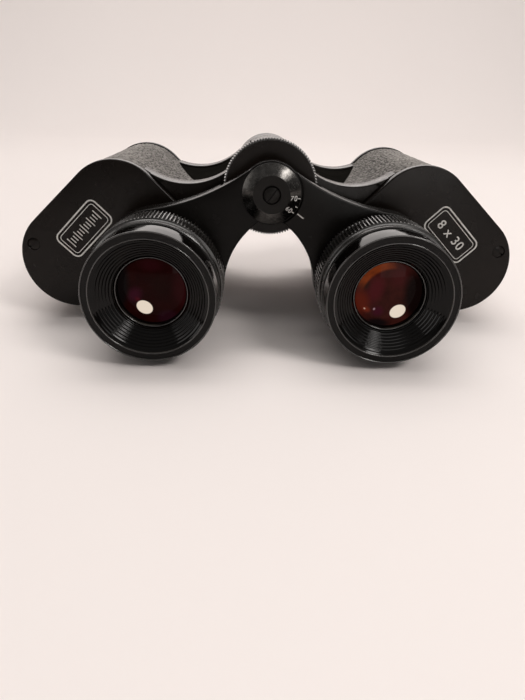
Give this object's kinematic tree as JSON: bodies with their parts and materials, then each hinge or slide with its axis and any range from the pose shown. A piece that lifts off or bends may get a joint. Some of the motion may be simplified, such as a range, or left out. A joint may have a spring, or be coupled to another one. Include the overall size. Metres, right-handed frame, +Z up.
{
  "type": "binoculars",
  "caption": "Porro-prism binoculars with centre focus, a folding hinge and a dioptre ring on the right eyepiece.",
  "frame": {"origin": "middle of the object's box in x and y, on the surface it rests on", "axes": "+X toward the right barrel as the user looks through it, +Y toward the objectives, +Z up, hinge side up"},
  "size_m": [0.1626, 0.1168, 0.055],
  "materials": {
    "black_paint": "satin",
    "leatherette": "pebbled",
    "gloss_black": "polished",
    "ring_paint": "semi-gloss",
    "matt_black": "matt",
    "blackened_steel": "blackened",
    "brass": "plain",
    "spring_steel": "plain",
    "coated_eye_lens": "coated",
    "glass": "polished"
  },
  "bodies": {
    "left_barrel": {"left_prism_housing": "black_paint", "left_leatherette": "leatherette", "left_eyepiece_cover": "black_paint", "left_eyepiece_cover_screw": "blackened_steel", "left_objective_cover": "black_paint", "left_objective_cover_screw": "blackened_steel", "left_eyepiece_sleeve": "blackened_steel", "left_first_prism": "glass", "left_first_prism_spring": "spring_steel", "left_second_prism": "glass", "left_second_prism_spring": "spring_steel", "left_objective_tube": "black_paint", "left_objective_cell": "matt_black", "left_objective_lens": "glass", "left_objective_lens_retainer": "matt_black", "left_objective_rim": "ring_paint", "left_strap_lug": "blackened_steel", "hinge_axle": "blackened_steel", "front_hinge_cap": "black_paint", "front_hinge_screw": "blackened_steel"},
    "right_barrel": {"right_prism_housing": "black_paint", "right_leatherette": "leatherette", "right_eyepiece_cover": "black_paint", "right_eyepiece_cover_screw": "blackened_steel", "right_objective_cover": "black_paint", "right_objective_cover_screw": "blackened_steel", "right_eyepiece_sleeve": "blackened_steel", "right_first_prism": "glass", "right_first_prism_spring": "spring_steel", "right_second_prism": "glass", "right_second_prism_spring": "spring_steel", "right_objective_tube": "black_paint", "right_objective_cell": "matt_black", "right_objective_lens": "glass", "right_objective_lens_retainer": "matt_black", "right_objective_rim": "ring_paint", "right_strap_lug": "blackened_steel"},
    "focus_wheel": {"focus_wheel": "ring_paint"},
    "left_ocular": {"left_bridge_arm": "black_paint", "left_eyepiece_barrel": "black_paint", "left_ribbed_ring": "ring_paint", "left_eyecup": "gloss_black", "left_eye_lens": "coated_eye_lens", "left_eye_lens_ring": "matt_black", "left_field_lens": "glass", "focus_spindle": "brass", "scale_cap": "black_paint", "scale_cap_screw": "blackened_steel"},
    "right_ocular": {"right_bridge_arm": "black_paint", "right_eyepiece_barrel": "black_paint"},
    "right_lens_slide": {"right_lens_tube": "matt_black", "right_eye_lens": "coated_eye_lens", "right_eye_lens_ring": "matt_black", "right_field_lens": "glass"},
    "right_dioptre": {"right_ribbed_ring": "ring_paint", "right_eyecup": "gloss_black"}
  },
  "joints": [
    {"name": "hinge_fold", "type": "hinge", "parent": "left_barrel", "child": "right_barrel", "pos_m": [0, 0, 0.04173], "axis": [0, -1, 0], "range_deg": [-12, 49]},
    {"name": "focus_turn", "type": "hinge", "parent": "left_barrel", "child": "focus_wheel", "pos_m": [0, 0, 0.04173], "axis": [0, -1, 0], "range_deg": [-180, 135]},
    {"name": "left_focus_slide", "type": "slide", "parent": "left_barrel", "child": "left_ocular", "axis": [0, -1, 0], "range_m": [-0.004, 0.003]},
    {"name": "right_focus_slide", "type": "slide", "parent": "right_barrel", "child": "right_ocular", "axis": [0, -1, 0], "range_m": [-0.004, 0.003]},
    {"name": "dioptre_slide", "type": "slide", "parent": "right_ocular", "child": "right_lens_slide", "axis": [0, -1, 0], "range_m": [-0.0011, 0.0011]},
    {"name": "dioptre_turn", "type": "hinge", "parent": "right_lens_slide", "child": "right_dioptre", "pos_m": [0.0305, 0, 0.0194], "axis": [0, -1, 0], "range_deg": [-90, 90]}
  ],
  "couplings": [
    {"joint": "focus_turn", "follows": "left_focus_slide", "rad_per_m": 785.3},
    {"joint": "right_focus_slide", "follows": "left_focus_slide", "ratio": 1},
    {"joint": "dioptre_turn", "follows": "dioptre_slide", "rad_per_m": 1427}
  ]
}
